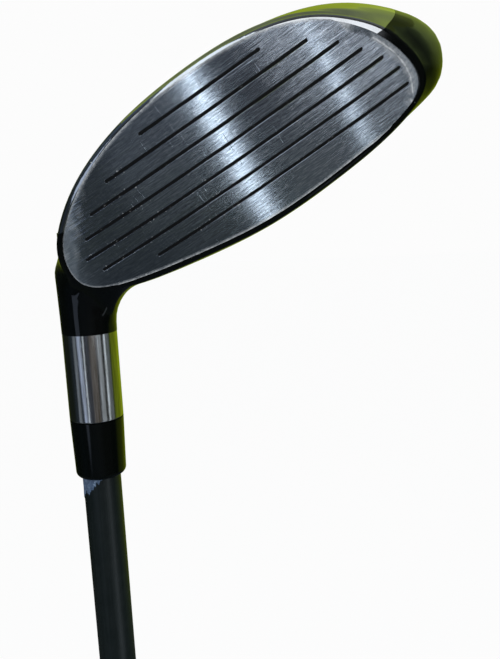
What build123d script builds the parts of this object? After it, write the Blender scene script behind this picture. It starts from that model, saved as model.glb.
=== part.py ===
from build123d import *
import os
from math import cos, hypot, radians, sin, sqrt

# Right-handed hybrid golf club, in millimetres.
# The origin is the middle of the grip's butt end. +Z runs up the shaft's axis to the head,
# +X is the toe side, and the face looks to -Y.

os.makedirs("parts", exist_ok=True)

# ---- The club as a whole
joint_height = 950.0          # butt end to the joint between ferrule and hosel
lie_angle = 59.0              # shaft to the ground
loft_angle = 20.0             # face to the vertical

# ---- Head: where the middle of the face lies from the joint, at address
face_reach = 61.9             # towards the toe
face_drop = 34.5              # downwards
face_lead = 13.8              # forwards of the shaft's axis
face_radius = 265.0           # bulge and roll of the face, one ball

# ---- Head: its outline at the face, at its waist, and where it closes at the back
front_half_width = 45.0
front_half_height = 18.75
front_rise = 1.45             # the outline's middle above the middle groove
waist_half_width = 51.0
waist_half_height = 19.2
waist_shift = 3.7             # towards the toe
waist_rise = 4.1
waist_depth = 16.0
back_depth = 56.0
back_shift = 6.0
back_rise = 11.6
flare_power = 2.2             # how quickly the skirt opens behind the face
closing_power = 2.2           # how full the back is
climb_power = 1.2             # how late the closing sections climb

# The outlines run from the heel round by the sole, the toe and the top line, as shares of
# the half width and half height.
front_outline = [
    (-0.87, -0.34), (-0.63, -0.70), (-0.32, -0.93), (0.04, -1.00),
    (0.38, -0.94), (0.65, -0.71), (0.84, -0.34), (0.98, 0.21),
    (0.99, 0.67), (0.81, 0.89), (0.45, 0.99), (0.00, 1.00),
    (-0.45, 0.85), (-0.83, 0.64), (-0.98, 0.39), (-0.98, 0.03),
]
waist_outline = [
    (-0.89, -0.35), (-0.66, -0.71), (-0.37, -0.91), (-0.01, -1.00),
    (0.32, -0.95), (0.61, -0.73), (0.845, -0.30), (0.984, 0.41),
    (0.925, 0.70), (0.70, 0.83), (0.35, 0.98), (-0.05, 1.01),
    (-0.46, 0.88), (-0.82, 0.62), (-0.98, 0.39), (-0.99, 0.01),
]

# ---- Head: walls
shell_wall = 1.5
crown_wall = 0.7              # the crown plate, which sits on a lip of the body's wall
crown_lip = 2.5               # how far the lip reaches under the plate's edge
crown_half_width = 36.0
crown_half_depth = 19.0
crown_shift = 5.0             # middle of the crown plate, towards the toe
crown_middle_depth = 29.0
edge_round = 1.2              # round of the rim between face and skirt
parting_drop = 2.2            # sole plate's upper edge, below the middle groove
parting_slope = 2.6           # its slope along the face, in degrees, up to the toe
parting_fall = 4.0            # its slope from the face to the back, in degrees, down to the back

# ---- Face plate and grooves
plate_thickness = 2.4
plate_margin = 1.35           # plate's edge inside the head's outline
plate_ledge = 1.5             # width and depth of the ledge behind the plate
groove_pitch = 3.92
groove_width = 0.70
groove_depth = 0.50
paint_recess = 0.12           # paint's surface below the face
# The heel end and the toe end of each groove, as shares of the half width, from the sole up.
groove_ends = [
    (-0.27, 0.39), (-0.53, 0.59), (-0.69, 0.71), (-0.79, 0.79),
    (-0.855, 0.86), (-0.82, 0.91), (-0.545, 0.915),
]

# ---- Hosel
hosel_diameter = 13.1
band_length = 21.6            # polished end of the hosel tube
tube_diameter = 11.2          # hosel tube inside the neck
tube_depth = 24.0             # how far the tube runs into the neck
neck_diameter = 13.2          # painted neck where it meets the band
neck_top_diameter = 13.8
neck_height = 14.0            # from the band to the ball that ends the neck inside the body
neck_blend = 11.0             # fillet between neck and body
boss_wall = 1.3               # body's wall round the inner end of the tube
band_round = 0.5
glue_gap = 0.1
plug_length = 3.0

# ---- Shaft
tip_diameter = 9.4
tip_wall = 2.2
tip_straight = 100.0          # parallel stretch at the tip
butt_diameter = 15.2
butt_wall = 1.2
insertion = 32.0              # shaft inside the hosel
tip_weight_length = 14.0
tip_weight_set = 6.0          # tip weight's end inside the shaft's end
slip_gap = 0.05

# ---- Ferrule
ferrule_length = 14.7
ferrule_end_diameter = 12.3
ferrule_nose = 1.3

# ---- Grip
grip_length = 267.0
cap_thickness = 4.0
cap_diameter = 27.0
cap_round = 1.8
vent_diameter = 3.0
tape_thickness = 0.25
tape_margin = 4.0             # bare shaft left at each end of the tape
grip_mouth_diameter = 17.6
grip_shoulder = 24.2          # diameters of the grip below its cap
grip_middle = 21.8
shoulder_height = 24.0
middle_height = 110.0

# ---- Weights inside the head
weight_shift = 4.0            # towards the toe
weight_half_length = 20.0
weight_front = 20.0           # depth behind the face
weight_back = 38.0
weight_height = 5.0
melt_shift = -6.0
melt_half_length = 9.0
melt_front = 9.0
melt_back = 18.0
melt_height = 2.5

# ---- Directions at address, and the plane square to the middle of the face
lie = radians(lie_angle)
loft = radians(loft_angle)
toe_way = Vector(sin(lie), 0, cos(lie))
up_way = Vector(cos(lie), 0, -sin(lie))
back_way = Vector(0, 1, 0)
into_way = back_way * cos(loft) - up_way * sin(loft)
joint = Vector(0, 0, joint_height)
face_middle = joint + toe_way * face_reach - up_way * face_drop - back_way * face_lead
face_plane = Plane(origin=face_middle, x_dir=toe_way, z_dir=into_way)


def placed(shares, half_width, half_height, shift, rise):
    return [(shift + a * half_width, rise + b * half_height) for a, b in shares]


def moved_in(points, distance):
    """The same closed outline, each point moved inwards square to its neighbours."""
    result = []
    for i, (x, y) in enumerate(points):
        before = points[i - 1]
        after = points[(i + 1) % len(points)]
        dx, dy = after[0] - before[0], after[1] - before[1]
        length = hypot(dx, dy)
        result.append((x - dy / length * distance, y + dx / length * distance))
    return result


front_points = placed(front_outline, front_half_width, front_half_height, 0, front_rise)
waist_points = placed(waist_outline, waist_half_width, waist_half_height, waist_shift, waist_rise)


def face_sag(x, y):
    """How far the ball of the face lies behind its middle."""
    return (x * x + y * y) / (2 * face_radius)


def section_points(depth, inset):
    """The outline on the plane that lies 'depth' behind the middle of the face.

    With an inset it is the outline of the hollow that leaves a wall of that thickness.
    """
    closing = max(0.0, (depth - waist_depth) / (back_depth - inset - waist_depth))
    size = sqrt(1 - closing ** closing_power)
    climb = closing ** climb_power
    shift = waist_shift + (back_shift - waist_shift) * climb
    rise = waist_rise + (back_rise - waist_rise) * climb
    points = []
    for front, waist in zip(moved_in(front_points, inset), moved_in(waist_points, inset)):
        sag = face_sag(*front)
        way = min(max((depth - sag) / (waist_depth - sag), 0.0), 1.0)
        flare = 1 - (1 - way) ** flare_power
        x = front[0] + flare * (waist[0] - front[0])
        y = front[1] + flare * (waist[1] - front[1])
        points.append((shift + (x - waist_shift) * size, rise + (y - waist_rise) * size))
    return points


def outline_face(points, depth):
    with BuildSketch(face_plane.offset(depth)) as sketch:
        with BuildLine():
            Spline(*points, periodic=True)
        make_face()
    return sketch.sketch.face()


front_depths = [-0.10, 0.00, 0.08, 0.16, 0.25, 0.38, 0.56, 0.78, 1.00]
back_depths = [0.16, 0.33, 0.50, 0.67, 0.81, 0.91, 0.97, 0.995]


def head_block(inset=0.0):
    """The head's full shape, or the shape of its hollow behind a wall."""
    depths = [share * waist_depth for share in front_depths]
    depths += [waist_depth + share * (back_depth - inset - waist_depth) for share in back_depths]
    outlines = [outline_face(section_points(depth, inset), depth).outer_wire() for depth in depths]
    return Part() + Solid.make_loft(outlines)


def face_ball(depth):
    """Everything that lies 'depth' or more behind the face's surface."""
    return face_plane * Location((0, 0, face_radius + depth), (90, 0, 0)) * Sphere(face_radius)


def face_prism(points):
    """A bar square to the face, with the given outline."""
    return extrude(outline_face(points, -waist_depth), 2 * waist_depth, dir=into_way)


def turned(points):
    """A solid turned about the shaft's axis from (radius, height) corners."""
    with BuildSketch(Plane.XZ) as sketch:
        with BuildLine():
            Polyline(*points, close=True)
        make_face()
    return revolve(sketch.sketch, Axis.Z)


def tube(outer_radius, inner_radius, low, high):
    return turned([(inner_radius, low), (outer_radius, low), (outer_radius, high), (inner_radius, high)])


def rod(radius, low, high):
    return turned([(0, low), (radius, low), (radius, high), (0, high)])


# ---- Outer shape of the head with its neck
hosel_radius = hosel_diameter / 2
tube_radius = tube_diameter / 2
tip_radius = tip_diameter / 2
band_top = joint_height + band_length
neck_end = band_top + neck_height
neck_radius = neck_top_diameter / 2
tube_end = band_top + tube_depth

head = head_block() & face_ball(0)
face_edges = head.faces().filter_by(GeomType.SPHERE).edges()
head = fillet(face_edges, edge_round)
neck = turned([(0, band_top), (neck_diameter / 2, band_top), (neck_radius, neck_end), (0, neck_end)])
neck = neck + Pos(0, 0, neck_end) * Sphere(neck_radius)
head = head + neck
neck_edges = head.faces().filter_by(GeomType.CONE).edges().filter_by(GeomType.BSPLINE)
head = fillet(neck_edges, neck_blend)

# ---- Shell, with the seat of the face plate
plate_outline = moved_in(front_points, plate_margin)
ledge_outline = moved_in(front_points, plate_margin + plate_ledge)
cavity = head_block(shell_wall) & face_ball(plate_thickness + plate_ledge)
seat = face_prism(plate_outline) - face_ball(plate_thickness)
mouth = face_prism(ledge_outline) - face_ball(plate_thickness + 2 * plate_ledge)
shell = head - cavity - mouth - seat

# ---- Sole plate: all of the shell below the parting plane
span = 4 * back_depth
parting_plane = face_plane * Location((0, -parting_drop, 0), (parting_fall, 0, parting_slope))
below = parting_plane * Location((0, -span / 2, 0)) * Box(span, span, span)
sole_plate = shell & below

# ---- Crown plate: the shell's outer skin over an opening in the body's top
crown_plane = Plane(origin=face_middle, x_dir=toe_way, z_dir=into_way.cross(toe_way))


def crown_prism(margin):
    """A bar square to the crown, with the opening's outline moved in by a margin."""
    with BuildSketch(crown_plane) as sketch:
        with Locations((crown_shift, -crown_middle_depth)):
            Ellipse(crown_half_width - margin, crown_half_depth - margin)
    return extrude(sketch.sketch, span)


crown_plate = (head - head_block(crown_wall)) & crown_prism(0)
body = shell - below - crown_plate - crown_prism(crown_lip)

# ---- Boss for the hosel tube, inside the body
boss = rod(tube_radius + boss_wall, band_top, tube_end + boss_wall)
boss = boss & head_block(shell_wall / 2) & face_ball(plate_thickness + plate_ledge / 2)
body = body + (boss - sole_plate)
body = body - rod(tube_radius, joint_height, tube_end)

# ---- Face plate with its grooves, and the paint that fills them
plate = face_prism(plate_outline) & face_ball(0)
plate = plate - face_ball(plate_thickness)


def groove_bars():
    """Seven round-ended bars square to the face, one for each groove."""
    bars = []
    for i, (heel_end, toe_end) in enumerate(groove_ends):
        rise = (i - len(groove_ends) // 2) * groove_pitch
        length = (toe_end - heel_end) * front_half_width
        middle = (toe_end + heel_end) / 2 * front_half_width
        with BuildSketch(face_plane.offset(-waist_depth)) as sketch:
            with Locations((middle, rise)):
                SlotOverall(length, groove_width)
        bars.append(extrude(sketch.sketch, 2 * waist_depth))
    return bars


face_plate = plate
paint = []
for bar in groove_bars():
    cut = bar - face_ball(groove_depth)
    face_plate = face_plate - cut
    paint.append((cut & face_ball(paint_recess)).solid())
groove_paint = Compound(children=paint)

# ---- Weight and glue on the inside of the sole
address_plane = Plane(origin=face_middle, x_dir=toe_way, z_dir=back_way)


def sole_level(depth):
    """Height of the hollow's lowest point, from the middle of the face, at address."""
    lowest = min(y for x, y in section_points(depth, shell_wall))
    return lowest * cos(loft) - depth * sin(loft)


def sole_pad(middle, half_length, front, back, height):
    """A pad that lies on the inside of the sole and is flat on top."""
    strip = face_plane * Location((middle, 0, (front + back) / 2)) * Box(2 * half_length, span, back - front)
    top = sole_level((front + back) / 2) + height
    under = address_plane * Location((0, top - span / 2, 0)) * Box(span, span, span)
    return head_block(shell_wall) & strip & under


sole_weight = sole_pad(weight_shift, weight_half_length, weight_front, weight_back, weight_height)
hot_melt = sole_pad(melt_shift, melt_half_length, melt_front, melt_back, melt_height)

# ---- Hosel tube, its end plug and the glue round the shaft
shaft_top = joint_height + insertion
bore_radius = tip_radius + glue_gap
hosel_tube = rod(hosel_radius, joint_height, band_top) + rod(tube_radius, band_top, tube_end)
band_edge = hosel_tube.edges().group_by(Axis.Z)[0]
hosel_tube = fillet(band_edge, band_round) - rod(bore_radius, joint_height, tube_end)
hosel_plug = rod(bore_radius - slip_gap, tube_end - plug_length, tube_end)
hosel_glue = tube(bore_radius, tip_radius, joint_height, shaft_top)

# ---- Shaft, with the weight in its tip
butt_radius = butt_diameter / 2
taper_end = joint_height + insertion - tip_straight
taper = (butt_radius - tip_radius) / (taper_end - cap_thickness)


def shaft_radius(height):
    return butt_radius - taper * (height - cap_thickness)


tip_bore = tip_radius - tip_wall
shaft = turned([
    (butt_radius - butt_wall, cap_thickness), (butt_radius, cap_thickness), (tip_radius, taper_end),
    (tip_radius, shaft_top), (tip_bore, shaft_top), (tip_bore, taper_end),
])
weight_end = shaft_top - tip_weight_set
tip_weight = rod(tip_bore - slip_gap, weight_end - tip_weight_length, weight_end)

# ---- Ferrule
ferrule_end = joint_height - ferrule_length
ferrule_bore = tip_radius + slip_gap
ferrule = turned([
    (0, ferrule_end), (ferrule_end_diameter / 2, ferrule_end), (hosel_radius, joint_height), (0, joint_height),
])
ferrule = fillet(ferrule.edges().group_by(Axis.Z)[0], ferrule_nose)
ferrule = ferrule - rod(ferrule_bore, ferrule_end, joint_height)

# ---- Grip: cap, sleeve and the tape under it
cap_radius = cap_diameter / 2
grip_cap = fillet(rod(cap_radius, 0, cap_thickness).edges().group_by(Axis.Z)[0], cap_round)
grip_cap = grip_cap - rod(vent_diameter / 2, 0, cap_thickness)

sleeve_start = shaft_radius(cap_thickness) + tape_thickness
sleeve_mouth = shaft_radius(grip_length) + tape_thickness
with BuildSketch(Plane.XZ) as sleeve_sketch:
    with BuildLine():
        Spline(
            (cap_radius, cap_thickness), (grip_shoulder / 2, shoulder_height),
            (grip_middle / 2, middle_height), (grip_mouth_diameter / 2, grip_length),
        )
        Polyline(
            (grip_mouth_diameter / 2, grip_length), (sleeve_mouth, grip_length),
            (sleeve_start, cap_thickness), (cap_radius, cap_thickness),
        )
    make_face()
grip_sleeve = revolve(sleeve_sketch.sketch, Axis.Z)

tape_low = cap_thickness + tape_margin
tape_high = grip_length - tape_margin
grip_tape = turned([
    (shaft_radius(tape_low), tape_low), (shaft_radius(tape_low) + tape_thickness, tape_low),
    (shaft_radius(tape_high) + tape_thickness, tape_high), (shaft_radius(tape_high), tape_high),
])

nodes = {
    "face_plate": face_plate, "groove_paint": groove_paint, "head_body": body, "crown_plate": crown_plate,
    "sole_plate": sole_plate, "sole_weight": sole_weight, "hot_melt_pad": hot_melt,
    "hosel_tube": hosel_tube, "hosel_plug": hosel_plug, "hosel_glue": hosel_glue, "ferrule": ferrule,
    "shaft": shaft, "tip_weight": tip_weight, "grip_tape": grip_tape, "grip_sleeve": grip_sleeve,
    "grip_cap": grip_cap,
}
for name, solid in nodes.items():
    export_step(solid, f"parts/{name}.step")
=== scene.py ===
# %% [markdown]
# # A hybrid golf club, finished in Blender
# The club was built in a CAD program and packed as a fixed frame: a hollow steel head with a grooved
# face plate, a polished sole, a bonded shaft, a ferrule and a rubber grip. Here it gets its looks.
# The frame stands upright with the middle of the grip's butt end at the origin: +Z runs up the shaft
# to the head, +X is the toe side, and the face looks to -Y. Everything is in metres.
# We load the frame first. The finished club may not grow out of it.

import random
from functools import cached_property
from math import cos, pi, radians, sin, tan

import bmesh
import bpy
import numpy as np
from mathutils import Matrix, Vector
from mathutils.geometry import convex_hull_2d, delaunay_2d_cdt, interpolate_bezier


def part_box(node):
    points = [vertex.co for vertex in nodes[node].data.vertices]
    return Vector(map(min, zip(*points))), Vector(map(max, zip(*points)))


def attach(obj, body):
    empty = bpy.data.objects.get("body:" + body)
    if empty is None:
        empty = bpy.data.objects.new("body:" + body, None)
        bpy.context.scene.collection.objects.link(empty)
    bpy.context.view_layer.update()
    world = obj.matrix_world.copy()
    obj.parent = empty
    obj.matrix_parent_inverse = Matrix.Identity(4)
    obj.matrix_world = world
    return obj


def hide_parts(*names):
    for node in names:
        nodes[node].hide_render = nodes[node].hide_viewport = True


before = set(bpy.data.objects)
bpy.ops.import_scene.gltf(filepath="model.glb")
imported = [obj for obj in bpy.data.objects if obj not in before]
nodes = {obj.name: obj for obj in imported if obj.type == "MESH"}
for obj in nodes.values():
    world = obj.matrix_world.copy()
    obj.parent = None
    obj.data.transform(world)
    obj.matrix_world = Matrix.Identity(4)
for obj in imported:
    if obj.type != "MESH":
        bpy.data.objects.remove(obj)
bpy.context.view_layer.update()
scene = bpy.context.scene
mm = 0.001
print("CAD nodes:", ", ".join(sorted(nodes)))

# %% [markdown]
# ## Directions on the head
# A club head is made to two angles: the lie is the shaft's slope to the ground, and the loft tips
# the face back. With them and the joint between ferrule and hosel, which the frame knows, we find
# the middle of the face. Three directions start there: `along` runs with the grooves to the toe,
# `across` square to them to the top line, and `inwards` goes into the head.

# %% Directions and the middle of the face
lie = radians(59)
loft = radians(20)
along = Vector((sin(lie), 0, cos(lie)))
up_way = Vector((cos(lie), 0, -sin(lie)))
back_way = Vector((0, 1, 0))
across = up_way * cos(loft) + back_way * sin(loft)
inwards = back_way * cos(loft) - up_way * sin(loft)

to_toe = 61.9  # from the joint to the middle of the face, in mm
to_sole = 34.5
to_front = 13.8
joint = Vector((0, 0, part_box("ferrule")[1].z))
face_middle = joint + along * to_toe * mm - up_way * to_sole * mm - back_way * to_front * mm
print("middle of the face:", [round(c, 4) for c in face_middle])

# %% [markdown]
# ## A small language for nodes
# A material is a network of nodes, and wiring one by hand hides the idea behind it. `Flow` wraps one
# output socket, so that `1 - mask * 0.5` adds the Math nodes by itself.

# %% Flow
class Flow:
    """A value, a colour or a shader on its way through a network."""

    def __init__(self, network, socket):
        self.network = network
        self.socket = socket

    def __add__(self, other):
        return self.network.math("ADD", self, other)

    def __mul__(self, other):
        return self.network.math("MULTIPLY", self, other)

    def __rsub__(self, other):
        return self.network.math("SUBTRACT", other, self)

    __radd__ = __add__
    __rmul__ = __mul__

    def larger(self, other):
        return self.network.math("MAXIMUM", self, other)

    def above(self, low, high):
        """0 below low, 1 above high and straight between them."""
        sockets = {"Value": self, "From Min": low, "From Max": high}
        return self.network.node("MapRange", {"clamp": True}, sockets)


# %% [markdown]
# ## Networks and finishes
# `Network` is a tree of nodes: of a material, of the room or of Geometry Nodes. Its `node` method
# makes any node: first its settings, then the values or links of its sockets. `Finish` is the
# network of a material, with the patterns that the club's surfaces share.

# %% Network
def colour(red, green, blue):
    return (red, green, blue, 1.0)


def grey(level):
    return colour(level, level, level)


class Network:
    """A tree of nodes that starts empty."""

    def __init__(self, tree):
        self.tree = tree
        tree.nodes.clear()

    def node(self, kind, settings=None, sockets=None, out=0):
        """A new node: the flow from one output, or the node itself if out is None."""
        made = self.tree.nodes.new(kind if "Node" in kind else "ShaderNode" + kind)
        for name, value in (settings or {}).items():
            if name == "stops":
                self.set_stops(made.color_ramp, value)
            else:
                setattr(made, name, value)
        self.wire(made, sockets or {})
        return made if out is None else Flow(self, made.outputs[out])

    def wire(self, made, sockets):
        """Links or sets inputs of a node, by name or number."""
        for name, value in sockets.items():
            if isinstance(value, Flow):
                self.tree.links.new(value.socket, made.inputs[name])
            else:
                made.inputs[name].default_value = value

    def set_stops(self, ramp, stops):
        while len(ramp.elements) < len(stops):
            ramp.elements.new(1.0)
        for element, (place, tone) in zip(ramp.elements, stops):
            element.position = place
            element.color = colour(*tone)

    def math(self, operation, first, second=0.0):
        return self.node("Math", {"operation": operation}, {0: first, 1: second})

    def scaled(self, vector, factor):
        return self.node("VectorMath", {"operation": "SCALE"}, {0: vector, "Scale": factor})

    def point(self, x=0.0, y=0.0, z=0.0):
        return self.node("CombineXYZ", sockets={0: x, 1: y, 2: z})


# %% Finish
class Finish(Network):
    """A material, by default with a Principled shader."""

    def __init__(self, name, shader="BsdfPrincipled"):
        self.material = bpy.data.materials.new(name)
        self.material.use_nodes = True
        super().__init__(self.material.node_tree)
        self.shader = self.node(shader)
        self.node("OutputMaterial", sockets={"Surface": self.shader}, out=None)
        print("finish:", name)

    def feed(self, **sockets):
        """Links or sets the shader's inputs; underscores stand for spaces."""
        spaced = {name.replace("_", " "): value for name, value in sockets.items()}
        self.wire(self.shader.socket.node, spaced)

    @cached_property
    def spot(self):
        """Object coordinates in millimetres."""
        return self.scaled(self.node("TexCoord", out="Object"), 1 / mm)

    def measure(self, way):
        """How far a spot lies along a direction."""
        sockets = {0: self.spot, 1: tuple(way)}
        return self.node("VectorMath", {"operation": "DOT_PRODUCT"}, sockets, out="Value")

    def noise(self, scale, detail=4.0, rough=0.6, place=None):
        sockets = {"Vector": place or self.spot, "Scale": scale, "Detail": detail, "Roughness": rough}
        return self.node("TexNoise", sockets=sockets)

    def stretched(self, scales, detail=4.0, rough=0.6):
        """Noise with its own scale along X, Y and Z."""
        scaled = self.node("VectorMath", {"operation": "MULTIPLY"}, {0: self.spot, 1: scales})
        return self.noise(1.0, detail, rough, scaled)

    def ramp(self, share, *stops):
        """A colour from a row of stops: (place, (red, green, blue))."""
        return self.node("ValToRGB", {"stops": stops}, {"Fac": share})

    def specks(self, scale, size):
        """Small round marks: 1 in a mark and 0 outside it."""
        cell = self.node("TexVoronoi", sockets={"Vector": self.spot, "Scale": scale}, out="Distance")
        return 1 - cell.above(size * 0.6, size)

    def blend(self, share, first, second):
        """A mix of two colours: inputs 6 and 7 and output 2 of the Mix node."""
        return self.node("Mix", {"data_type": "RGBA"}, {0: share, 6: first, 7: second}, out=2)

    def bump(self, height, depth, strength=1.0, normal=None):
        """A bump of that depth in mm, on top of the one in normal."""
        sockets = {"Height": height, "Distance": depth * mm, "Strength": strength}
        if normal is not None:
            sockets["Normal"] = normal
        return self.node("Bump", sockets=sockets)


# %% [markdown]
# ## Camera
# The camera looks at the head from in front, a little above it and towards the toe, close enough for
# strong perspective, through a lens of about 35 mm. It is placed from the joint.

# %% Camera
def add_object(name, data):
    """A linked object for a mesh, a lamp or the camera."""
    made = bpy.data.objects.new(name, data)
    scene.collection.objects.link(made)
    return made


camera_data = bpy.data.cameras.new("camera")
camera_data.lens = 34.9
camera_data.clip_start = 0.01
camera = add_object("camera", camera_data)
camera.location = joint + Vector((0.04777, -0.15131, 0.04722))
camera.rotation_euler = (radians(80.09), radians(2.41), radians(2.83))
scene.camera = camera
print("camera at", [round(c, 3) for c in camera.location])

# %% [markdown]
# ## A plain studio
# The club stands on a pale floor in a white room. One flat colour would do for both, but their light
# would then be as strong as their white. So a Light Path node splits the two: the camera and the
# mirrors see plain white, and all else gets a weaker light. The floor keeps a little of its paint
# for the shadow of the club, and the room's white matches it, so that no horizon shows.

# %% Room
scene.view_settings.view_transform = "Standard"
room_white = grey(0.974)
room_light = colour(0.95, 0.98, 1.0)
room_strength = 0.6


def looks(network):
    """1 where the camera, a mirror or glass looks, and 0 for the light on things."""
    rays = ("Is Camera Ray", "Is Glossy Ray", "Is Transmission Ray")
    return sum(network.node("LightPath", out=ray) for ray in rays).above(0, 1)


world = bpy.data.worlds.new("room")
world.use_nodes = True
scene.world = world
room = Network(world.node_tree)
lit = room.node("Background", sockets={"Color": room_light, "Strength": room_strength})
seen = room.node("Background", sockets={"Color": room_white})
mixed = room.node("MixShader", sockets={0: looks(room), 1: lit, 2: seen})
room.node("OutputWorld", sockets={"Surface": mixed}, out=None)
print("room light:", room_strength)

# %% Floor
one_face = [(0, 1, 2, 3)]
floor_side = 30
floor_glow = 0.94


def stage_sheet(name, points, faces):
    """A piece of the set, no part of the club."""
    mesh = bpy.data.meshes.new(name)
    mesh.from_pydata(points, [], faces)
    sheet = add_object(name, mesh)
    return sheet


def level_square(side, height):
    """The corners of a level square about the shaft's axis."""
    half = side / 2
    return [(x * half, y * half, height) for x, y in ((-1, -1), (1, -1), (1, 1), (-1, 1))]


floor = stage_sheet("floor", level_square(floor_side, 0), one_face)
floor_finish = Finish("pale_floor", "MixShader")
plain = floor_finish.node("BsdfDiffuse", sockets={"Color": grey(0.85)})
glow = floor_finish.node("Emission", sockets={"Color": grey(1)})
share = looks(floor_finish) * floor_glow
floor_finish.wire(floor_finish.shader.socket.node, {0: share, 1: plain, 2: glow})
floor.data.materials.append(floor_finish.material)

# %% [markdown]
# ## A tent for the reflections
# Polished steel and gloss black paint show almost nothing but what is round them. So a studio hangs
# cloth and cards about the set, and a club is shot outdoors over turf. Here a round tent with a lid
# and a ground carries both: grey cloth in front and at the sides, and olive turf behind. Only
# reflections see all this, so it casts no light and no shade.

# %% Tent
def heading(azimuth, elevation):
    """A direction: azimuth from -Y towards +X, elevation above level, in degrees."""
    turn, rise = radians(azimuth), radians(elevation)
    return Vector((sin(turn) * cos(rise), -cos(turn) * cos(rise), sin(rise)))


def hang_sheet(name, points, faces, finish):
    """A piece of the set that only reflections see."""
    sheet = stage_sheet(name, points, faces)
    for ray in ("camera", "diffuse", "shadow", "transmission"):
        setattr(sheet, "visible_" + ray, False)
    sheet.data.materials.append(finish.material)


tent_radius = 1.5
tent_foot = 0.02
tent_top = 2.3
tent_sides = 96
points = []
for i in range(tent_sides):
    away = heading(360 * i / tent_sides, 0) * tent_radius
    points += [(away.x, away.y, tent_foot), (away.x, away.y, tent_top)]
ends = 2 * tent_sides
walls = [(i, (i + 2) % ends, (i + 3) % ends, i + 1) for i in range(0, ends, 2)]

turf = (0.24, 0.31, 0.025)
shade = (0.010, 0.014, 0.010)
charcoal = (0.03, 0.03, 0.03)
tent_tones = (  # azimuth, tone higher up, tone at the head and below it
    (-160, turf, turf),
    (-142, shade, (0.05, 0.065, 0.01)),
    (-122, (0.03, 0.04, 0.03), shade),
    (-90, (0.035, 0.050, 0.060), shade),
    (-58, (0.05, 0.07, 0.10), (0.020, 0.028, 0.040)),
    (-35, (0.06, 0.08, 0.13), (0.016, 0.020, 0.026)),
    (-8, (0.07, 0.08, 0.10), (0.045, 0.052, 0.066)),
    (22, (0.09, 0.10, 0.11), (0.055, 0.060, 0.070)),
    (42, (0.10, 0.11, 0.12), charcoal),
    (66, (0.12, 0.13, 0.14), charcoal),
    (82, (0.08, 0.10, 0.07), shade),
    (97, (0.26, 0.36, 0.14), shade),
    (110, (0.48, 0.64, 0.20), (0.12, 0.16, 0.01)),
    (135, (0.48, 0.64, 0.14), (0.15, 0.20, 0.01)),
    (165, (0.30, 0.38, 0.04), (0.29, 0.37, 0.01)),
    (180, turf, turf),
)
cloth = Finish("tent", "Emission")
parts = cloth.node("SeparateXYZ", sockets={0: cloth.spot}, out=None)
to_side, to_back, level = (Flow(cloth, socket) for socket in parts.outputs)
turn = cloth.math("ARCTAN2", to_side, to_back * -1).above(-pi, pi)
higher_up, at_head = (
    cloth.ramp(turn, *[((tone[0] + 180) / 360, tone[row]) for tone in tent_tones]) for row in (1, 2)
)
head_level = face_middle.z / mm
fade_start = head_level + 200
fade_end = head_level + 850
cloth.feed(Color=cloth.blend(level.above(fade_start, fade_end), at_head, higher_up))
hang_sheet("tent", points, walls, cloth)
print("tent of", len(walls), "walls")

# %% [markdown]
# ## Lid, ground and cards
# The lid and the ground close the tent, each with a tone in the middle and one at the edge. Cards
# add a window and two flanks, and a dark bar splits the window into the fine lines that polish shows.

# %% Lid and ground
lid_side = 2 * tent_radius + 0.1
middle_end = 700  # the middle tone ends this far from the axis, in mm
edge_start = 1450
for name, height, middle_tone, edge_tone in (
    ("ceiling", 2.29, (0.13, 0.155, 0.09), (0.24, 0.31, 0.07)),
    ("ground", 0.03, (0.034, 0.041, 0.052), (0.045, 0.055, 0.045)),
):
    cloth = Finish(name, "Emission")
    from_axis = {0: cloth.spot, 1: (0, 0, height / mm)}
    away = cloth.node("VectorMath", {"operation": "DISTANCE"}, from_axis, out="Value")
    share = away.above(middle_end, edge_start)
    cloth.feed(Color=cloth.blend(share, colour(*middle_tone), colour(*edge_tone)))
    hang_sheet(name, level_square(lid_side, height), one_face, cloth)

# %% Cards
cards = (  # name, distance, tone, (azimuth, elevation) of the corners
    ("window", 1.3, (1.02, 1.14, 1.30), [(-34, 38), (-10, 38), (19, 4), (-14, 6)]),
    ("window_bar", 1.25, (0.05, 0.06, 0.08), [(-25, 25), (2, 25), (6, 21), (-23, 21)]),
    ("left_card", 1.3, (0.42, 0.50, 0.66), [(-50, -4), (-30, -26), (-22, -24), (-32, 6)]),
    ("right_card", 1.3, (1.12, 1.18, 1.28), [(20, -9), (46, -9), (46, -4), (20, -4)]),
)
for name, distance, tone, corners in cards:
    board = Finish(name, "Emission")
    board.feed(Color=colour(*tone))
    points = [face_middle + heading(*corner) * distance for corner in corners]
    hang_sheet(name, points, one_face, board)
print(len(cards), "cards")

# %% [markdown]
# ## Lamps
# Two large soft lamps, in front and behind, light the club at a plain level together with the room.
# One function makes every lamp from two directions as seen from the face, because a reflection
# depends on directions.

# %% Lamps
daylight = (0.80, 0.91, 1.0)


def lamp(name, start, end, width, distance, radiance, reflected=False, tint=daylight):
    """A lamp that faces the face and reaches from one direction to another."""
    first = face_middle + heading(*start) * distance
    last = face_middle + heading(*end) * distance
    middle = (first + last) / 2
    long_side = (last - first).normalized()
    away = (middle - face_middle).normalized()
    away = (away - long_side * away.dot(long_side)).normalized()
    data = bpy.data.lights.new(name, "AREA")
    data.shape = "RECTANGLE"
    data.size = width
    data.size_y = (last - first).length
    data.energy = radiance * pi * data.size * data.size_y
    data.color = tint
    made = add_object(name, data)
    turn = Matrix((long_side.cross(away), long_side, away)).transposed()
    made.matrix_world = Matrix.Translation(middle) @ turn.to_4x4()
    made.visible_camera = False
    made.visible_glossy = reflected
    print(name, "lamp,", round(data.energy, 2), "W")
    return made


lamp("fill_front", (-60, 45), (60, 45), width=0.8, distance=2.2, radiance=0.8)
lamp("fill_back", (120, 30), (-120, 30), width=0.8, distance=2.2, radiance=0.8)
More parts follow.
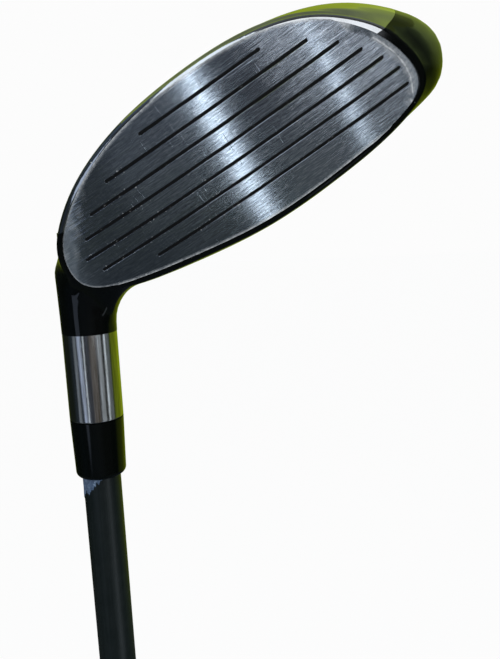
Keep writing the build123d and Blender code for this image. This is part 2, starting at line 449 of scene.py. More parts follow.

# %% [markdown]
# ## Brushed steel of the face
# The face is milled, then brushed along the grooves. Each brush line is a tiny furrow, so the steel
# scatters light across the lines and stays sharp along them. The shader has a socket for that, but
# bump shows the lines themselves: noise that is stretched along the grooves. Dashes and a faint hatch
# tint the steel, hard scratches run square to the grooves, and paint chips bare the metal at a
# groove's lip. A painted highlight, pale and partly non-metallic, lies where the mesh says that a
# crease or the rim is: it stands in for the glint on their tiny rounds.

# %% Brushed steel
steel = Finish("brushed_face_steel")
run = steel.measure(along)
rise = steel.measure(across)


def lines(run_scale, rise_scale, layer, detail=2.0, rough=0.6):
    """Noise stretched along or square to the grooves, in a layer of its own."""
    place = steel.point(run * run_scale, rise * rise_scale, layer)
    return steel.noise(1.0, detail, rough, place)


hair = lines(0.04, 9.0, 0.0)
furrows = lines(0.02, 3.0, 5.0, 3.0)
dashes = lines(0.40, 3.6, 9.0, 3.0, 0.75)
clouds = lines(0.06, 0.10, 3.0, 4.0)
hatch = lines(2.4, 0.30, 15.0).above(0.52, 0.70)
scratch_zone = lines(0.10, 0.12, 11.0, 1.0, 0.5).above(0.50, 0.62)
scratches = lines(3.0, 0.16, 7.0, 2.0, 0.5).above(0.66, 0.72) * scratch_zone
# The first attribute marks the painted highlight along the rim and the creases, the second the
# grooves' lips.
edge, lip = (
    steel.node("Attribute", {"attribute_name": name}, out="Fac") for name in ("rubbed", "lip")
)
chips = lip * steel.noise(2.3, 2.0).above(0.63, 0.71) * clouds.above(0.42, 0.56)
dust = steel.specks(0.35, 0.07) * steel.noise(0.25, 1.0, 0.5).above(0.50, 0.62)
# Painted highlight: a broken bright line along the rim and the creases.
painted_edge_glint = edge * (steel.noise(1.3, 2.0).above(0.35, 0.60) * 0.5 + 0.55)
# Real paint chips and dust, together with the painted edge highlight.
chips_dust_and_highlight = chips.larger(dust).larger(painted_edge_glint)

# %% Steel's colour and bump
# The pale bare steel is the colour of chips and dust, and also of the painted edge highlight.
dark_line = colour(0.20, 0.23, 0.28)
bright_line = colour(0.93, 0.96, 1.0)
bare_metal_and_highlight = grey(0.90)
steel_tone = steel.ramp(
    clouds * 0.5 + furrows * 0.5,
    (0.30, (0.37, 0.40, 0.45)), (0.52, (0.52, 0.56, 0.62)), (0.75, (0.62, 0.65, 0.69)),
)
for share, tone in (
    (dashes.above(0.50, 0.36) * 0.34, dark_line),
    (dashes.above(0.50, 0.66) * 0.46, bright_line),
    (hatch * 0.16, bright_line),
    (chips_dust_and_highlight, bare_metal_and_highlight),
):
    steel_tone = steel.blend(share, steel_tone, tone)
steel_bump = None
for height, depth, strength in (
    (hair, 0.026, 1.0), (furrows, 0.026, 1.0), (dashes, 0.006, 1.0), (scratches, 0.012, 0.8),
):
    steel_bump = steel.bump(height, depth, strength, steel_bump)
steel.feed(
    Base_Color=steel_tone,
    Metallic=1 - chips_dust_and_highlight * 0.7,
    Roughness=0.10 + clouds * 0.05,
    Normal=steel_bump,
)

# %% [markdown]
# ## Polished steel of the sole
# The sole and its leading edge are polished like a mirror, and play has left haze and nicks. A low
# roughness alone looks like new chrome, so a cloudy noise varies it a little, a very shallow brushed
# bump breaks up the reflections, and small specks are dull and pale.

# %% Sole steel
sole_steel = Finish("polished_sole_steel")
haze = sole_steel.noise(0.12)
hair = sole_steel.stretched((0.4, 0.25, 6.0), 3.0, 0.5)
nicks = sole_steel.specks(0.22, 0.05)
sole_tone = sole_steel.ramp(haze, (0.35, (0.66, 0.66, 0.64)), (0.65, (0.80, 0.80, 0.79)))
sole_tone = sole_steel.blend(nicks, sole_tone, colour(0.92, 0.92, 0.90))
sole_steel.feed(
    Base_Color=sole_tone,
    Metallic=1 - nicks * 0.6,
    Roughness=0.05 + haze * 0.06 + nicks * 0.3,
    Normal=sole_steel.bump(hair, 0.002, 0.35),
)

# %% [markdown]
# ## Gloss black paint
# The crown and the neck are sprayed deep black, and the ferrule is black plastic, polished on the
# club. Both are a dark base under a smooth gloss, so one function makes both. Their depth comes from
# a base near zero: all that the eye sees is reflection, plus dust and swirls.

# %% Gloss black
def black_paint(name, base, shine, swirl):
    """Gloss paint or polished plastic, with dust and faint swirls."""
    paint = Finish(name)
    swirls = paint.noise(swirl)
    dust = paint.specks(0.30, 0.035) * paint.noise(0.2, 1.0, 0.5).above(0.55, 0.65)
    tone = paint.ramp(swirls, (0.3, base), (0.8, tuple(part * 1.8 for part in base)))
    paint.feed(
        Base_Color=paint.blend(dust, tone, colour(0.35, 0.36, 0.36)),
        Roughness=shine + swirls * 0.05 + dust * 0.4,
        Normal=paint.bump(swirls, 0.004, 0.25),
    )
    return paint


body_paint = black_paint("gloss_black_paint", (0.0012, 0.0018, 0.0017), 0.05, 0.5)
ferrule_black = black_paint("polished_black_ferrule", (0.0010, 0.0018, 0.0014), 0.09, 1.2)

# %% [markdown]
# ## Paint in the grooves
# The maker fills the seven grooves with matt black paint. It needs no shine: a rough, grainy coat
# that is worn to grey in spots.

# %% Groove paint
groove_black = Finish("groove_paint")
grain = groove_black.noise(4.0, 3.0)
worn = groove_black.noise(1.2, 2.0).above(0.68, 0.74)
groove_black.feed(
    Base_Color=groove_black.blend(worn, grey(0.004), grey(0.16)),
    Roughness=0.55 + grain * 0.2,
    Normal=groove_black.bump(grain, 0.03, 0.6),
)

# %% [markdown]
# ## Polished end of the hosel tube
# A band of bare steel shows between the painted neck and the ferrule. It was turned on a lathe and
# polished upwards, so its colour and its bump are streaks along the shaft. Fine grit and a few dark
# pits make the reflections look used.

# %% Hosel steel
band_steel = Finish("polished_hosel_steel")
streaks = band_steel.stretched((2.2, 2.2, 0.12))
grit = band_steel.stretched((5.0, 5.0, 2.5), 3.0, 0.7)
band_tone = band_steel.ramp(streaks, (0.3, (0.42, 0.41, 0.38)), (0.7, (0.74, 0.74, 0.76)))
pits = band_steel.specks(1.1, 0.16) * grit.above(0.45, 0.60)
band_tone = band_steel.blend(pits * 0.6, band_tone, grey(0.12))
band_bump = band_steel.bump(streaks, 0.006, 0.5)
band_steel.feed(
    Base_Color=band_tone,
    Metallic=1.0,
    Roughness=0.06 + grit * 0.16,
    Normal=band_steel.bump(grit, 0.006, 0.8, band_bump),
)

# %% [markdown]
# ## Charcoal lacquer of the shaft
# The shaft is graphite under a satin charcoal lacquer. Long, thin noise along the shaft gives the
# fibres that just show through, and broad noise gives the marks of wiping.

# %% Shaft lacquer
lacquer = Finish("charcoal_shaft_lacquer")
fibres = lacquer.stretched((5.0, 5.0, 0.05), 3.0)
wipes = lacquer.noise(0.3)
shaft_tone = lacquer.ramp(
    fibres * 0.7 + wipes * 0.3, (0.3, (0.004, 0.009, 0.009)), (0.7, (0.012, 0.019, 0.020))
)
lacquer.feed(
    Base_Color=shaft_tone,
    Roughness=0.30 + wipes * 0.12,
    Normal=lacquer.bump(fibres, 0.006, 0.4),
)

# %% [markdown]
# ## Rubber, tape, weights and glue
# The grip is matt rubber with pores and a slight polish from hands. Under it lies crepe tape, and
# the head hides weights, glue and a plug. Nobody sees those, but a cut-away would, so one function
# gives each a mottled finish.

# %% Rubber and the hidden pieces
grip_rubber = Finish("moulded_grip_rubber")
pores = grip_rubber.noise(3.5, 4.0, 0.7)
wear = grip_rubber.noise(0.04, 3.0, 0.5)
grip_rubber.feed(
    Base_Color=grip_rubber.ramp(
        wear * 0.6 + pores * 0.4, (0.35, (0.012, 0.012, 0.013)), (0.70, (0.030, 0.030, 0.031))
    ),
    Roughness=0.62 + pores * 0.25,
    Normal=grip_rubber.bump(pores, 0.06, 0.7),
)


def plain_finish(name, dark, pale, scale, rough, metal=0.0, depth=0.05):
    """A mottled finish for a piece inside the club."""
    made = Finish(name)
    mottle = made.noise(scale)
    made.feed(
        Base_Color=made.ramp(mottle, (0.3, dark), (0.7, pale)),
        Roughness=rough + mottle * 0.2,
        Metallic=metal,
        Normal=made.bump(mottle, depth, 0.6),
    )
    return made


tape_crepe = plain_finish("crepe_tape", (0.50, 0.45, 0.34), (0.76, 0.71, 0.60), 2.5, 0.7)
weight_steel = plain_finish(
    "machined_weight_steel", (0.32, 0.32, 0.33), (0.50, 0.50, 0.52), 0.8, 0.3, 1.0, 0.01
)
weight_metal = plain_finish(
    "machined_tip_weight", (0.50, 0.38, 0.20), (0.74, 0.60, 0.34), 1.5, 0.3, 1.0, 0.01
)
cured_glue = plain_finish("cured_glue", (0.42, 0.34, 0.18), (0.70, 0.62, 0.42), 0.7, 0.35)

# %% [markdown]
# ## Finishes for the frame's own pieces
# Most pieces are round or flat solids that the CAD model already has exactly, so their meshes stay
# as they are and only get a material.

# %% Hand out the finishes
finish_of = {
    "head_body": body_paint, "crown_plate": body_paint, "sole_plate": sole_steel,
    "hosel_tube": band_steel, "ferrule": ferrule_black, "shaft": lacquer,
    "groove_paint": groove_black, "grip_cap": grip_rubber, "grip_tape": tape_crepe,
    "sole_weight": weight_steel, "tip_weight": weight_metal,
    "hot_melt_pad": cured_glue, "hosel_plug": cured_glue, "hosel_glue": cured_glue,
}
for name, finish in finish_of.items():
    nodes[name].data.materials.clear()
    nodes[name].data.materials.append(finish.material)
print(len(finish_of), "nodes have their finish")

# %% [markdown]
# ## The face plate
# The plate is the piece that the eye meets first, so it gets its own mesh. It is a shallow ball
# surface with seven milled grooves, a narrow facet ground along its toe and a double crease at its
# heel. It could be cut with Booleans, but those leave long thin triangles that shade badly. We draw
# its outline, grooves and creases flat instead, as lines that the triangles must follow, fill the
# rest with an even lattice, and then lift every point to its depth by one formula.

# %% Outline of the plate
face_radius = 265.0  # bulge and roll of the face; all its sizes are in mm
front_skin = 0.05  # points of the CAD plate this near the ball are on its front
outline_step = 0.8
smoothings = 4


def flat(point):
    """A point's place along and across the face, and its depth, in mm."""
    gap = (point - face_middle) / mm
    return gap.dot(along), gap.dot(across), gap.dot(inwards)


def ball_depth(t, s):
    return face_radius - np.sqrt(face_radius ** 2 - t ** 2 - s ** 2)


def even_steps(points, step, closed=True):
    """The same line with points at even steps."""
    line = list(points) + ([points[0]] if closed else [])
    lengths = np.cumsum([0] + [(b - a).length for a, b in zip(line, line[1:])])
    count = max(4, int(lengths[-1] / step))
    marks = np.linspace(0, lengths[-1], count + 1)[: count if closed else None]
    return np.column_stack([np.interp(marks, lengths, [p[k] for p in line]) for k in (0, 1)])


plate_points = [flat(vertex.co) for vertex in nodes["face_plate"].data.vertices]
front_points = [(t, s) for t, s, depth in plate_points if depth - ball_depth(t, s) < front_skin]
hull = [Vector(front_points[i]) for i in convex_hull_2d(front_points)]
outline = even_steps(hull, outline_step)
for _ in range(smoothings):
    outline = (np.roll(outline, 1, axis=0) + outline * 2 + np.roll(outline, -1, axis=0)) / 4
print("plate outline:", len(outline), "points")

# %% [markdown]
# ## Distances on the flat face
# A facet, a crease or a groove is easy to shape once we know how far each point lies from it. One
# function measures the distance to any line, with a sign for its side, and the rest use it.

# %% Distance to a line
def to_line(places, line, closed):
    """Distance from each place to a line: negative on the line's right side."""
    starts = np.asarray(line)
    ends = np.roll(starts, -1, axis=0)
    if not closed:
        starts, ends = starts[:-1], ends[:-1]
    run = ends - starts
    gap = places[:, None, :] - starts
    share = np.clip((gap * run).sum(2) / (run ** 2).sum(1), 0, 1)
    offset = gap - share[:, :, None] * run
    distance = np.sqrt((offset ** 2).sum(2))
    nearest = distance.argmin(1)
    rows = np.arange(len(places))
    run = run[nearest]
    offset = offset[rows, nearest]
    side = run[:, 0] * offset[:, 1] - run[:, 1] * offset[:, 0]
    return distance[rows, nearest] * np.sign(side)


turning = np.cross(np.roll(outline, -1, axis=0) - outline, outline).sum()
outline = outline if turning < 0 else outline[::-1]


def beyond_outline(places):
    """Distance outside the CAD plate's outline; negative inside it."""
    return -to_line(places, outline, True)


# %% [markdown]
# ## Creases and grooves
# The toe's crease is one curve of four knots, and the heel's two are straight. The grooves lie at an
# even pitch, and each has ends of its own, because they follow the shape of the head.

# %% Creases
toe_knots = [Vector(knot) for knot in ((30.5, -12.5), (35.2, -3.6), (49.2, 8.7), (37.6, 18.0))]
knot_marks = 60
crease_step = 0.9
toe_crease = even_steps(interpolate_bezier(*toe_knots, knot_marks), crease_step, False)
heel_start = np.array([-27.6, -10.8])
heel_way = np.array([-0.724, -0.69])  # square to the heel's creases, towards the heel
heel_step = 2.2  # from the first heel crease to the second


def past_toe_crease(places):
    return -to_line(places, toe_crease, False)


def past_heel_crease(places):
    return (places - heel_start) @ heel_way


# %% Grooves
groove_pitch = 3.92
groove_width = 0.70
half_face = 45.0
groove_shares = [  # where each groove ends, as a share of half the face
    (-0.27, 0.39), (-0.53, 0.59), (-0.69, 0.71), (-0.79, 0.79),
    (-0.855, 0.86), (-0.82, 0.91), (-0.545, 0.915),
]
middle_groove = 3
grooves = []
for i, (heel_end, toe_end) in enumerate(groove_shares):
    inset = groove_width / 2
    level = (i - middle_groove) * groove_pitch
    grooves.append((heel_end * half_face + inset, toe_end * half_face - inset, level))


def beyond_grooves(places):
    """Distance to the nearest groove's edge; negative inside it."""
    gaps = []
    for low, high, level in grooves:
        end = np.maximum(np.maximum(low - places[:, 0], places[:, 0] - high), 0)
        gaps.append(np.hypot(end, places[:, 1] - level) - groove_width / 2)
    return np.min(gaps, axis=0)


print(len(grooves), "grooves")

# %% [markdown]
# ## Depth by formula
# The depth of any point is a sum: the ball of the face, the slope past each crease, the round of the
# rim and the cut of a groove. A formula keeps every point on a true surface, so reflections run
# smoothly, and its slope gives exact normals later. At toe and heel the plate reaches a little over
# the rim, where its welded edge was ground down with the head's paint.

# %% Reach over the rim
toe_reach = 0.62
tip_reach = 0.85
heel_reach = 0.35


def rising(values, start, end):
    """0 before the start, 1 past the end and straight between them."""
    return np.clip((values - start) / (end - start), 0, 1)


def edge_reach(places):
    """How far the plate reaches over the head's rim: most round the toe."""
    toe = rising(places[:, 0], 24, 36)
    tip = rising(places[:, 0], 35, 41) * rising(-places[:, 1], -15, -9)
    heel = rising(-places[:, 0], 30, 38)
    return toe_reach * toe * toe * (3 - 2 * toe) + tip_reach * tip + heel_reach * heel


# %% Depth of the face
plate_margin = 1.35  # from the CAD plate's edge to the head's outline
edge_round = 1.2  # round of the head's rim
proud = 0.005  # the plate stands this far before the CAD plate, to hide it
toe_slope = tan(radians(9))
toe_ease = 0.15
heel_slope = tan(radians(3.5))
heel_eases = (0.6, 0.5)
groove_floor = 0.45
lip_width = 0.05
lip_depth = 0.03
wall_foot = 0.04  # inside this much of a groove's edge its floor begins


def eased(distance, round_over):
    """0 before a crease, rising evenly after it, with a rounded start."""
    return (distance + np.sqrt(distance ** 2 + round_over ** 2)) / 2


def surface_depth(places):
    """Depth of the face without its grooves."""
    depth = ball_depth(places[:, 0], places[:, 1])
    depth = depth + toe_slope * eased(past_toe_crease(places), toe_ease)
    heel = past_heel_crease(places)
    first, second = heel_eases
    depth = depth + heel_slope * (eased(heel, first) + eased(heel - heel_step, second))
    extra_reach = np.clip(edge_reach(places) - toe_reach, 0, 1)
    inset = np.clip(plate_margin - beyond_outline(places) + extra_reach, 0.0, edge_round)
    return depth + edge_round - np.sqrt(edge_round ** 2 - (edge_round - inset) ** 2) - proud


def full_depth(places):
    groove = beyond_grooves(places)
    lip = lip_depth * np.clip(1 - groove / lip_width, 0, 1)
    return surface_depth(places) + np.where(groove < -wall_foot, groove_floor, lip)


# %% [markdown]
# ## Lines and lattice
# The triangles have to follow the rim, the grooves and the toe's crease, or the edges would look
# chewed. So those become lines that the filling holds: three rings at the rim, four round each
# groove and three along the crease. The room between them gets points in even, shifted rows.

# %% Held lines
rim_insets = (0.0, 0.25, 0.7)
ring_offsets = (0.42, lip_width, 0.0, -0.05)  # from a groove's edge, outwards
crease_shifts = (-0.28, 0.0, 0.28)
crease_inset = 0.9  # the crease's lines stop this far inside the outline
straight_step = 1.1
end_angles = np.linspace(-pi / 2, pi / 2, 9)
flat_places, held_edges = [], []


def sideways(line_ahead):
    """Unit vectors to the right of the ways that a line takes."""
    side = np.column_stack([line_ahead[:, 1], -line_ahead[:, 0]])
    return side / np.linalg.norm(line_ahead, axis=1)[:, None]


def add_line(points, closed):
    first = len(flat_places)
    flat_places.extend(map(tuple, points))
    count = len(points)
    steps = count if closed else count - 1
    held_edges.extend((first + i, first + (i + 1) % count) for i in range(steps))


outward = sideways(np.roll(outline, -1, axis=0) - np.roll(outline, 1, axis=0))
rim = outline + outward * edge_reach(outline)[:, None]
for inset in rim_insets:
    add_line(rim - outward * inset, True)
for low, high, level in grooves:
    straight = np.linspace(high, low, int((high - low) / straight_step))[1:-1]
    for offset in ring_offsets:
        radius = groove_width / 2 + offset
        loop = [(high + radius * cos(a), level + radius * sin(a)) for a in end_angles]
        loop += [(t, level + radius) for t in straight]
        loop += [(low - radius * cos(a), level - radius * sin(a)) for a in end_angles]
        loop += [(t, level - radius) for t in straight[::-1]]
        add_line(loop, True)
inner_crease = toe_crease[beyond_outline(toe_crease) < -crease_inset]
crease_side = sideways(np.gradient(inner_crease, axis=0))
for shift in crease_shifts:
    add_line(inner_crease + crease_side * shift, False)

# %% Lattice between the lines
spacing = 1.3
row_share = 0.87  # the height of an even triangle, as a share of its side
left, low = -49, -20
wide, high = 100, 44
rim_room = 1.2  # the lattice keeps this far from the outline
groove_room = 0.7
crease_room = 0.6
lattice = np.array([
    (left + (column + 0.5 * (row % 2)) * spacing, low + row * spacing * row_share)
    for row in range(int(high / spacing)) for column in range(int(wide / spacing))
])
free = (beyond_outline(lattice) < -rim_room) & (beyond_grooves(lattice) > groove_room)
free &= np.abs(past_toe_crease(lattice)) > crease_room
flat_places.extend(map(tuple, lattice[free]))
print(len(flat_places), "points and", len(held_edges), "held edges")

# %% [markdown]
# ## Fill, lift and close
# Blender's constrained Delaunay fill joins all points to even triangles and keeps the held lines.
# The flat sheet is then lifted to its depth, its border is drawn inwards to a skirt, and the back is
# closed, so the plate is a solid body.

# %% Fill and lift
inside_only = 1  # the fill keeps what lies inside the outermost line
merge_distance = 1e-6


def on_face(t, s, depth):
    """The place t along, s across and depth inwards of the face's middle."""
    return face_middle + (along * t + across * s + inwards * depth) * mm


flat_vectors = [Vector(place) for place in flat_places]
result = delaunay_2d_cdt(flat_vectors, held_edges, [], inside_only, merge_distance)
filled, faces = np.array([tuple(p) for p in result[0]]), result[2]
points = [on_face(t, s, depth) for (t, s), depth in zip(filled, full_depth(filled))]
# A triangle that runs clockwise in (along, across) looks out of the face.
shown_faces = []
for face in faces:
    a, b, c = (filled[i] for i in face[:3])
    area = (b[0] - a[0]) * (c[1] - a[1]) - (b[1] - a[1]) * (c[0] - a[0])
    shown_faces.append(tuple(face) if area < 0 else tuple(reversed(face)))

# %% Skirt and back
skirt_depth = 1.4 * mm
skirt_taper = 0.03
face_mesh = bpy.data.meshes.new("face")
face_mesh.from_pydata(points, [], shown_faces)
work = bmesh.new()
work.from_mesh(face_mesh)
border = [edge for edge in work.edges if edge.is_boundary]
skirt = bmesh.ops.extrude_edge_only(work, edges=border)
for part in skirt["geom"]:
    if isinstance(part, bmesh.types.BMVert):
        part.co += inwards * skirt_depth + (face_middle - part.co) * skirt_taper
bottom = [edge for edge in work.edges if edge.is_boundary]
bmesh.ops.contextual_create(work, geom=bottom)
bmesh.ops.triangulate(work, faces=[face for face in work.faces if len(face.verts) > 4])
bmesh.ops.recalc_face_normals(work, faces=work.faces)
work.to_mesh(face_mesh)
work.free()
face_piece = add_object("face_plate_milled", face_mesh)
print("face plate:", len(face_mesh.polygons), "faces")

# %% [markdown]
# ## Exact normals and marks for the material
# A mirror shows every flaw of its normals, and those that Blender averages from triangles ripple.
# The slope of the depth formula gives the true ones, which we set on all corners outside the
# grooves. Two attributes tell the material where a painted highlight lies along the rim and the
# creases, and where a groove's lip is.

# %% Exact normals
tiny = 0.01
flush_gap = 0.02  # a point this near the surface lies on it
measured = np.array([flat(vertex.co) for vertex in face_mesh.vertices])
places = measured[:, :2]
slope_t, slope_s = (
    (surface_depth(places + step) - surface_depth(places - step)) / (2 * tiny)
    for step in (np.array((tiny, 0)), np.array((0, tiny)))
)
smooth_normals = [(along * a + across * b - inwards).normalized() for a, b in zip(slope_t, slope_s)]
groove_gap = beyond_grooves(places)
level_gap = np.abs(measured[:, 2] - surface_depth(places))
flush_point = (groove_gap > lip_width - tiny) & (level_gap < flush_gap)
loop_normals = []
for polygon in face_mesh.polygons:
    flush = all(flush_point[corner] for corner in polygon.vertices)
    for corner in polygon.vertices:
        loop_normals.append(smooth_normals[corner] if flush else polygon.normal.copy())
face_mesh.normals_split_custom_set(loop_normals)

# %% Painted highlight on the rim and the creases, and groove lips
crease_width = 0.34  # of the painted highlight at a crease
heel_width = 0.35
lip_reach = 0.34


def near(gap, width):
    """1 on a line, fading to nothing at about twice the width."""
    return np.exp(-(gap / width) ** 2)


heel_gap = past_heel_crease(places)
inside = beyond_outline(places) - edge_reach(places)
rim_width = 0.35 + 0.30 * rising(places[:, 0], 30, 38)
# Painted highlight: full along the toe's crease and the rim, faint along the heel's two creases.
rubbed = np.max([
    near(past_toe_crease(places), crease_width),
    0.20 * near(heel_gap, heel_width),
    0.35 * near(heel_gap - heel_step, heel_width),
    np.clip(1 + (inside + 0.1) / rim_width, 0, 1),
], axis=0)
lip_mask = np.clip(1 - (groove_gap - lip_width) / lip_reach, 0, 1)
for name, values in (("rubbed", rubbed), ("lip", lip_mask)):
    layer = face_mesh.attributes.new(name, "FLOAT", "POINT")
    layer.data.foreach_set("value", values.astype(np.float32))
face_mesh.materials.append(steel.material)
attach(face_piece, "root")
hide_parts("face_plate")
print("rubbed share:", round(float(rubbed.mean()), 3))

# %% [markdown]
# ## Strips for the face
# Brushed steel smears a lamp across its brush lines. A narrow strip that already runs that way gives
# a crisp band straight over the grooves. Broad, faint lamps beside the two strips give the slow
# gradients to the toe, the rim and the heel. Light linking keeps them all to the face plate.

# %% Face strips
def alone(name, piece):
    """A collection of one piece, to which a lamp can be linked."""
    made = bpy.data.collections.new(name)
    made.objects.link(piece)
    return made


face_alone = alone("face_alone", face_piece)
for name, start, end, width, distance, radiance in (
    ("strip_middle", (7.0, -8), (31.0, -42), 0.048, 1.2, 3.1),
    ("strip_toe", (30.8, -5), (49.4, -26), 0.024, 1.2, 2.8),
    ("wash_middle", (-3, -10), (7, -36), 0.40, 1.33, 0.06),
    ("wash_toe", (48, 42), (48, -40), 0.75, 1.3, 0.075),
    ("wash_edge", (57, 8), (57, -40), 0.45, 1.31, 0.05),
    ("wash_facet", (78, 30), (78, -40), 0.55, 1.31, 0.20),
    ("wash_rim", (30, 48), (30, 8), 0.60, 1.32, 0.14),
    ("wash_heel", (-34, 5), (-34, -55), 0.30, 1.2, 0.14),
):
    strip = lamp(name, start, end, width, distance, radiance, reflected=True)
    strip.light_linking.receiver_collection = face_alone

# %% [markdown]
# ## Strips for the hosel, the neck and the shaft
# The polished hosel is a small drum, and a drum squeezes the whole room into thin upright streaks.
# So upright lamps hang round it: a bright one beside each flank, softer ones between, of which one is
# warm, and faint ones at the edges. The shaft gets a soft strip and the neck a small spot.

# %% Strips for the round pieces
warm = (1.0, 0.80, 0.50)


def upright(piece, name, azimuth, width, radiance, top=30, foot=-45, tint=daylight):
    """An upright strip that one piece alone reflects."""
    strip = lamp(name, (azimuth, top), (azimuth, foot), width, 1.2, radiance, True, tint)
    strip.light_linking.receiver_collection = alone(name, piece)


hosel = nodes["hosel_tube"]
upright(hosel, "hosel_left", -17, 0.07, 1.0)
upright(hosel, "hosel_far_left", -56, 0.22, 0.20)
upright(hosel, "hosel_middle", 20, 0.42, 0.06, tint=warm)
upright(hosel, "hosel_soft", 50, 0.30, 0.36)
upright(hosel, "hosel_right", 76, 0.10, 1.1)
upright(hosel, "hosel_edge", 90, 0.30, 0.15)
upright(nodes["shaft"], "shaft_streak", 50, 0.30, 0.80, -10, -60)
upright(nodes["head_body"], "neck_spot", 61, 0.09, 0.6, -24, -48)

# %% [markdown]
# ## The torn label
# A paper label was torn off the shaft below the ferrule, and a ragged scrap stays on the heel side.
# A picture would look printed, so it is a sheet of paper with real thickness, bent round the shaft.
# Its lower edge comes from a random walk, which tears unevenly, as paper does.

# %% Torn grid of the label
ferrule_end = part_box("ferrule")[0].z
shaft_radius = 4.7 * mm
clearance = 0.01 * mm
curl = 0.05 * mm  # the torn edge lifts off the shaft by up to this
tuck = 0.8 * mm  # how far the paper goes up under the ferrule
label_start = -74  # in degrees about the shaft
label_turn = 108
columns = 46
rows = 9
stride = 0.75  # of the random walk along the torn edge
kept_share = 0.75  # what each step keeps of the last one
shortest = 0.3  # reaches of the paper below the ferrule, in mm
first_reach = 0.7
added_reach = 6.6
reach_power = 1.3
tear = random.Random(4)
grid = []
wander = 0.0
for i in range(columns + 1):
    share = i / columns
    angle = radians(label_start - label_turn * share)
    wander = kept_share * wander + tear.uniform(-stride, stride)
    reach_down = max(shortest, first_reach + added_reach * share ** reach_power + wander) * mm
    for j in range(rows + 1):
        height = ferrule_end + tuck - (reach_down + tuck) * j / rows
        lifted = shaft_radius + clearance + (curl * tear.random() if j == rows else 0)
        grid.append((angle, height, lifted))
print("label grid:", len(grid), "points")

# %% Paper with two sides and four edges
paper = 0.07 * mm
work = bmesh.new()
for side in (0.0, paper):
    for angle, height, lifted in grid:
        radius = lifted + side
        work.verts.new((radius * cos(angle), radius * sin(angle), height))
work.verts.ensure_lookup_table()
next_row = 1  # steps in the numbers of the points
next_column = rows + 1
other_side = len(grid)


def label_face(corner, first, second):
    """A face from one corner's number and the steps to the two beside it."""
    places = (corner, corner + first, corner + first + second, corner + second)
    work.faces.new([work.verts[place] for place in places])


for i in range(columns):
    for j in range(rows):
        corner = i * next_column + j
        label_face(corner + other_side, next_column, next_row)
        label_face(corner + next_row, next_column, -next_row)
    for j in (0, rows):
        label_face(i * next_column + j, next_column, other_side)
for j in range(rows):
    for i in (0, columns):
        label_face(i * next_column + j, next_row, other_side)
bmesh.ops.recalc_face_normals(work, faces=work.faces)
label_mesh = bpy.data.meshes.new("label_scrap")
work.to_mesh(label_mesh)
work.free()
label = add_object("label_scrap", label_mesh)

# %% Paper of the label
label_paper = Finish("torn_label_paper")
pulp = label_paper.noise(2.2, 4.0, 0.65)
torn = label_paper.noise(0.9, 3.0).above(0.55, 0.66)
paper_tone = label_paper.ramp(pulp, (0.35, (0.05, 0.09, 0.17)), (0.65, (0.11, 0.18, 0.31)))
label_paper.feed(
    Base_Color=label_paper.blend(torn, paper_tone, colour(0.26, 0.37, 0.53)),
    Roughness=0.6 + pulp * 0.2,
    Normal=label_paper.bump(pulp, 0.05, 0.7),
)
label_mesh.materials.append(label_paper.material)
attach(label, "root")
print("label scrap:", len(label_mesh.polygons), "faces")

# %% [markdown]
# ## The grip
# A grip is one moulded sleeve with hundreds of small raised lozenges that keep it from turning in
# the hand. A bump could fake them, but the outline would stay smooth. They repeat by a rule, so
# Geometry Nodes set them: rows up the sleeve, every other row turned by half a step, each lozenge
# dropped on the sleeve by a ray that looks for its skin.

# %% Grip pattern as Geometry Nodes
tree = bpy.data.node_groups.new("grip_lozenges", "GeometryNodeTree")
tree.interface.new_socket("Sleeve", in_out="INPUT", socket_type="NodeSocketGeometry")
for name, kind, value in (
    ("Columns", "Int", 22), ("Rows", "Int", 62), ("Start", "Float", 0.030),
    ("Row step", "Float", 0.0034), ("Length", "Float", 0.0026), ("Width", "Float", 0.0015),
    ("Height", "Float", 0.0005), ("Rubber", "Material", None),
):
    socket = tree.interface.new_socket(name, in_out="INPUT", socket_type="NodeSocket" + kind)
    if value is not None:
        socket.default_value = value
tree.interface.new_socket("Grip", in_out="OUTPUT", socket_type="NodeSocketGeometry")
grip = Network(tree)
given = grip.node("NodeGroupInput", out=None).outputs
bare, columns, rows, start, row_step, length, width, height, rubber = (
    Flow(grip, socket) for socket in given if socket.name
)

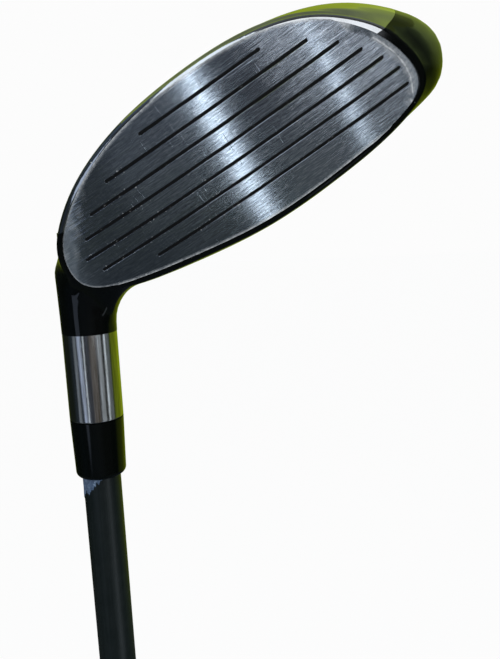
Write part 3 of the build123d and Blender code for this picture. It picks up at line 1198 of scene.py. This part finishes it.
# %% Where each lozenge starts
index = grip.node("GeometryNodeInputIndex")
row = grip.math("FLOOR", grip.math("DIVIDE", index, columns))
half_step = grip.math("MODULO", row, 2.0) * 0.5
column = grip.math("MODULO", index, columns) + half_step
turn = grip.math("DIVIDE", column, columns) * (2 * pi)
outward = grip.point(grip.math("COSINE", turn), grip.math("SINE", turn))
far = 0.03  # outside the grip, from where the rays look back
lift = grip.point(z=start + row * row_step)
source = grip.node("VectorMath", {"operation": "ADD"}, {0: grip.scaled(outward, far), 1: lift})
skin = grip.node("GeometryNodeRaycast", sockets={
    "Target Geometry": bare, "Source Position": source,
    "Ray Direction": grip.scaled(outward, -1.0), "Ray Length": far,
}, out="Hit Position")

# %% Lozenges on the sleeve
dots = grip.node("GeometryNodePoints", sockets={"Count": columns * rows})
seated = grip.node("GeometryNodeSetPosition", sockets={"Geometry": dots, "Position": skin})
turned = grip.node(
    "FunctionNodeAxesToRotation", {"primary_axis": "X", "secondary_axis": "Z"},
    {"Primary Axis": outward, "Secondary Axis": (0.0, 0.0, 1.0)},
)
placed = grip.node("GeometryNodeInstanceOnPoints", sockets={
    "Points": seated,
    "Instance": grip.node("GeometryNodeMeshIcoSphere", sockets={"Radius": 0.5, "Subdivisions": 1}),
    "Rotation": turned,
    "Scale": grip.point(height, width, length),
})
joined = grip.node("GeometryNodeJoinGeometry", sockets={0: placed})
grip.wire(joined.socket.node, {0: bare})
real = grip.node("GeometryNodeRealizeInstances", sockets={"Geometry": joined})
coated = grip.node("GeometryNodeSetMaterial", sockets={"Geometry": real, "Material": rubber})
grip.node("NodeGroupOutput", sockets={"Grip": coated}, out=None)
print("grip network:", len(tree.nodes), "nodes")

# %% Grip piece
weld = 0.002 * mm  # joins the loose triangles of the CAD mesh
sleeve_mesh = nodes["grip_sleeve"].data.copy()
work = bmesh.new()
work.from_mesh(sleeve_mesh)
bmesh.ops.remove_doubles(work, verts=work.verts, dist=weld)
work.to_mesh(sleeve_mesh)
work.free()
sleeve = add_object("grip_sleeve_base", sleeve_mesh)
modifier = sleeve.modifiers.new("lozenges", "NODES")
modifier.node_group = tree
sockets_in = [item for item in tree.interface.items_tree if item.in_out == "INPUT"]
identifier = {item.name: item.identifier for item in sockets_in}
modifier[identifier["Rubber"]] = grip_rubber.material
depsgraph = bpy.context.evaluated_depsgraph_get()
grip_mesh = bpy.data.meshes.new_from_object(sleeve.evaluated_get(depsgraph))
grip_mesh.shade_smooth()
grip_piece = add_object("grip_sleeve_moulded", grip_mesh)
bpy.data.objects.remove(sleeve)
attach(grip_piece, "root")
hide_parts("grip_sleeve")
print("grip:", len(grip_mesh.polygons), "faces")
